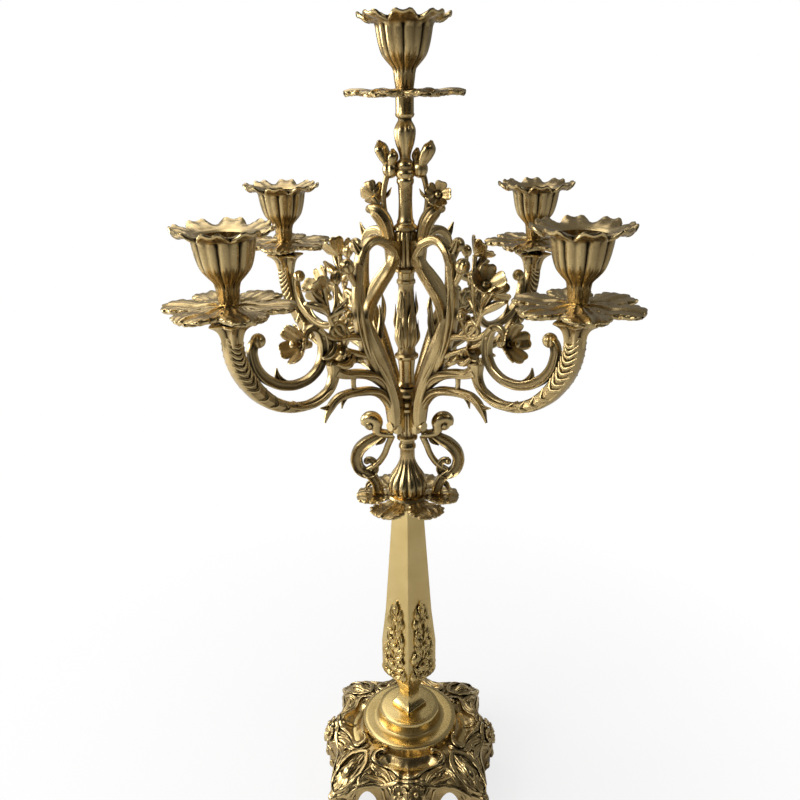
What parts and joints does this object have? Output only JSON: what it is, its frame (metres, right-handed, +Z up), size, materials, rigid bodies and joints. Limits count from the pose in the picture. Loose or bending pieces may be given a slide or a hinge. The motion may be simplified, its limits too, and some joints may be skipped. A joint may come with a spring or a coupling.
{
  "type": "tabletop candelabra",
  "caption": "Cast brass candelabra: footed square base, tapering square column, turned stem, scrolled floral arms, leaf drip pans and screw-in tulip candle cups.",
  "frame": {"origin": "on the table surface, under the stem's axis at the middle of the base", "axes": "+Z up along the stem; the base's sides face X and Y, and the arms stand on the diagonals"},
  "size_m": [0.2218, 0.2218, 0.478],
  "materials": {
    "antique_brass": "cast relief, polished on the ridges and dark in the hollows",
    "polished_brass": "satin polished",
    "steel": "plain turned"
  },
  "bodies": {
    "stand": {"base_casting": "antique_brass", "stepped_plinth": "polished_brass", "foot_knop": "polished_brass", "column": "polished_brass", "leaf_dish": "antique_brass"},
    "branches": {"arm_1": "antique_brass", "arm_2": "antique_brass", "arm_3": "antique_brass", "arm_4": "antique_brass", "arm_flowers_1": "antique_brass", "arm_flowers_2": "antique_brass", "arm_flowers_3": "antique_brass", "arm_flowers_4": "antique_brass", "arm_screws": "steel", "arm_socket_1": "antique_brass", "arm_socket_2": "antique_brass", "arm_socket_3": "antique_brass", "arm_socket_4": "antique_brass", "baluster": "antique_brass", "base_nut": "steel", "base_washer": "steel", "bell_collar": "antique_brass", "finial_socket": "antique_brass", "lower_hub": "antique_brass", "scroll_bracket_left": "antique_brass", "scroll_bracket_right": "antique_brass", "stem_knop": "antique_brass", "tie_rod": "steel", "upper_branch_left": "antique_brass", "upper_branch_right": "antique_brass", "upper_flower_left": "antique_brass", "upper_flower_right": "antique_brass", "upper_hub": "antique_brass", "upper_stem": "antique_brass"},
    "pan_centre": {"pan_centre": "antique_brass"},
    "cup_washer_centre": {"cup_washer_centre": "antique_brass"},
    "cup_centre": {"cup_centre": "antique_brass"},
    "pan_1": {"pan_1": "antique_brass"},
    "cup_washer_1": {"cup_washer_1": "antique_brass"},
    "cup_1": {"cup_1": "antique_brass"},
    "pan_2": {"pan_2": "antique_brass"},
    "cup_washer_2": {"cup_washer_2": "antique_brass"},
    "cup_2": {"cup_2": "antique_brass"},
    "pan_3": {"pan_3": "antique_brass"},
    "cup_washer_3": {"cup_washer_3": "antique_brass"},
    "cup_3": {"cup_3": "antique_brass"},
    "pan_4": {"pan_4": "antique_brass"},
    "cup_washer_4": {"cup_washer_4": "antique_brass"},
    "cup_4": {"cup_4": "antique_brass"}
  },
  "joints": [
    {"name": "branches_swivel", "type": "hinge", "parent": "stand", "child": "branches", "pos_m": [0, 0, 0.213], "axis": [0, 0, 1], "continuous": true},
    {"name": "pan_centre_spin", "type": "hinge", "parent": "branches", "child": "pan_centre", "pos_m": [0, 0, 0.438], "axis": [0, 0, 1], "continuous": true},
    {"name": "cup_centre_rise", "type": "slide", "parent": "branches", "child": "cup_washer_centre", "axis": [0, 0, 1], "range_m": [0, 0.007]},
    {"name": "cup_centre_turn", "type": "hinge", "parent": "cup_washer_centre", "child": "cup_centre", "pos_m": [0, 0, 0.438], "axis": [0, 0, 1], "range_deg": [0, 2520]},
    {"name": "pan_1_spin", "type": "hinge", "parent": "branches", "child": "pan_1", "pos_m": [0.0792, 0.0792, 0.348], "axis": [0, 0, 1], "continuous": true},
    {"name": "cup_1_rise", "type": "slide", "parent": "branches", "child": "cup_washer_1", "axis": [0, 0, 1], "range_m": [0, 0.007]},
    {"name": "cup_1_turn", "type": "hinge", "parent": "cup_washer_1", "child": "cup_1", "pos_m": [0.0792, 0.0792, 0.348], "axis": [0, 0, 1], "range_deg": [0, 2520]},
    {"name": "pan_2_spin", "type": "hinge", "parent": "branches", "child": "pan_2", "pos_m": [-0.0792, 0.0792, 0.348], "axis": [0, 0, 1], "continuous": true},
    {"name": "cup_2_rise", "type": "slide", "parent": "branches", "child": "cup_washer_2", "axis": [0, 0, 1], "range_m": [0, 0.007]},
    {"name": "cup_2_turn", "type": "hinge", "parent": "cup_washer_2", "child": "cup_2", "pos_m": [-0.0792, 0.0792, 0.348], "axis": [0, 0, 1], "range_deg": [0, 2520]},
    {"name": "pan_3_spin", "type": "hinge", "parent": "branches", "child": "pan_3", "pos_m": [-0.0792, -0.0792, 0.348], "axis": [0, 0, 1], "continuous": true},
    {"name": "cup_3_rise", "type": "slide", "parent": "branches", "child": "cup_washer_3", "axis": [0, 0, 1], "range_m": [0, 0.007]},
    {"name": "cup_3_turn", "type": "hinge", "parent": "cup_washer_3", "child": "cup_3", "pos_m": [-0.0792, -0.0792, 0.348], "axis": [0, 0, 1], "range_deg": [0, 2520]},
    {"name": "pan_4_spin", "type": "hinge", "parent": "branches", "child": "pan_4", "pos_m": [0.0792, -0.0792, 0.348], "axis": [0, 0, 1], "continuous": true},
    {"name": "cup_4_rise", "type": "slide", "parent": "branches", "child": "cup_washer_4", "axis": [0, 0, 1], "range_m": [0, 0.007]},
    {"name": "cup_4_turn", "type": "hinge", "parent": "cup_washer_4", "child": "cup_4", "pos_m": [0.0792, -0.0792, 0.348], "axis": [0, 0, 1], "range_deg": [0, 2520]}
  ],
  "couplings": [
    {"joint": "cup_centre_rise", "follows": "cup_centre_turn", "m_per_rad": 0.00015915},
    {"joint": "cup_1_rise", "follows": "cup_1_turn", "m_per_rad": 0.00015915},
    {"joint": "cup_2_rise", "follows": "cup_2_turn", "m_per_rad": 0.00015915},
    {"joint": "cup_3_rise", "follows": "cup_3_turn", "m_per_rad": 0.00015915},
    {"joint": "cup_4_rise", "follows": "cup_4_turn", "m_per_rad": 0.00015915}
  ]
}
